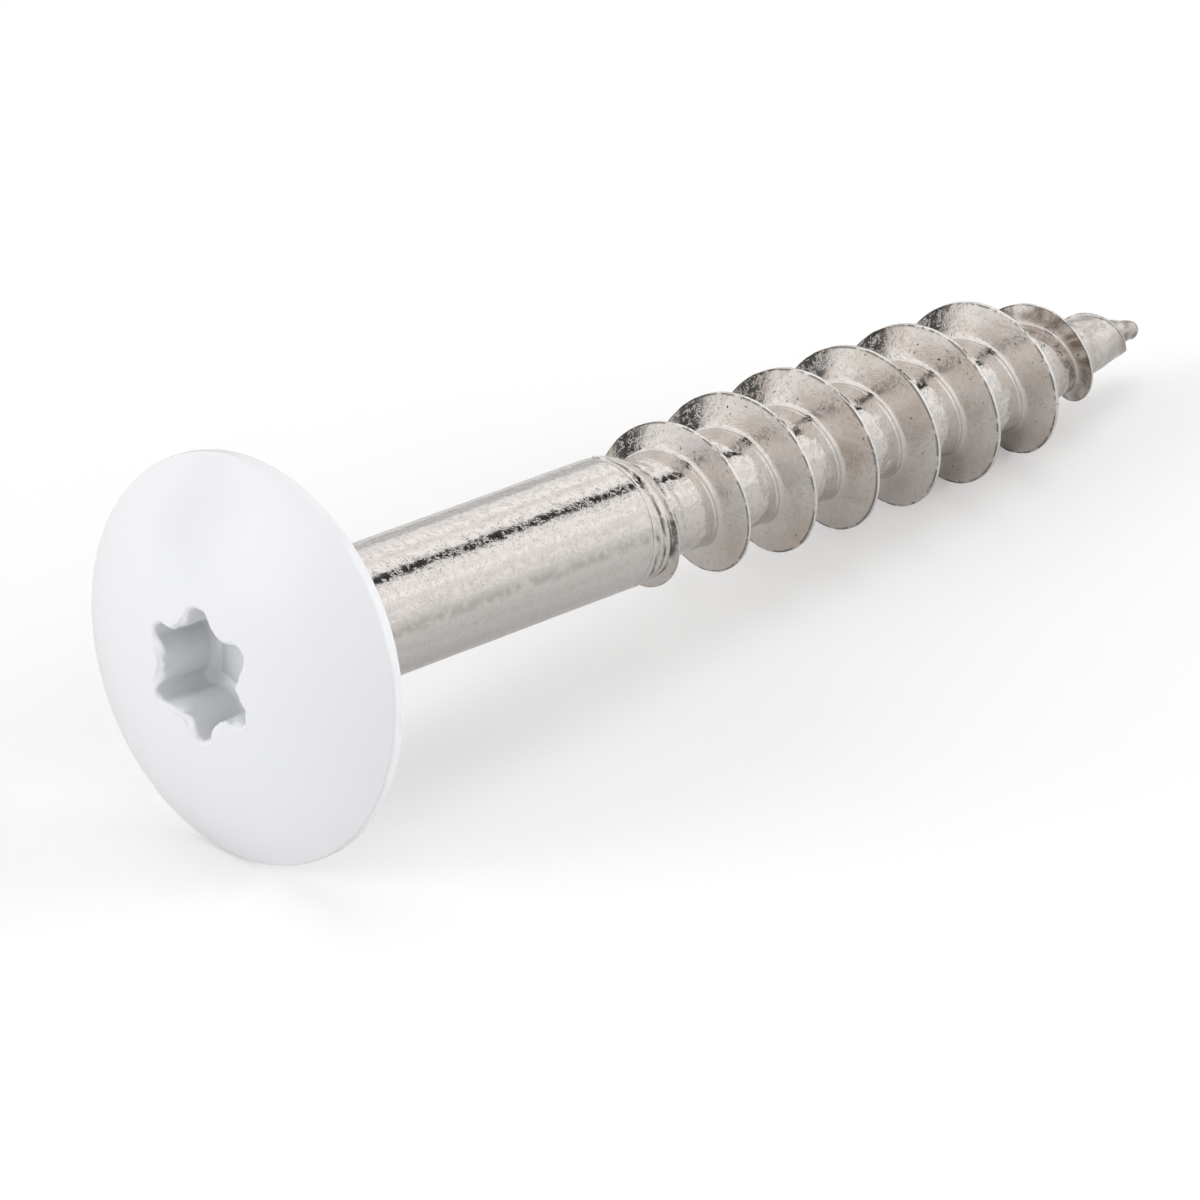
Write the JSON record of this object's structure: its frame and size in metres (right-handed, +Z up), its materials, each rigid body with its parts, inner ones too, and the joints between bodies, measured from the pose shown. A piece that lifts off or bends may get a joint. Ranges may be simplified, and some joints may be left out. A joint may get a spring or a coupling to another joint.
{
  "type": "facade screw",
  "caption": "Stainless facade screw with a white painted lens head, a six-lobe socket, a smooth shank and a coarse thread.",
  "frame": {"origin": "on the ground, under the middle of the lying screw", "axes": "+X runs from the head to the point, +Z is up; the screw's axis dips 6.4 degrees below +X towards the point"},
  "size_m": [0.0408, 0.012, 0.0119],
  "materials": {
    "stainless_steel": "satin"
  },
  "bodies": {
    "root": {"facade_screw": "stainless_steel"}
  },
  "joints": []
}
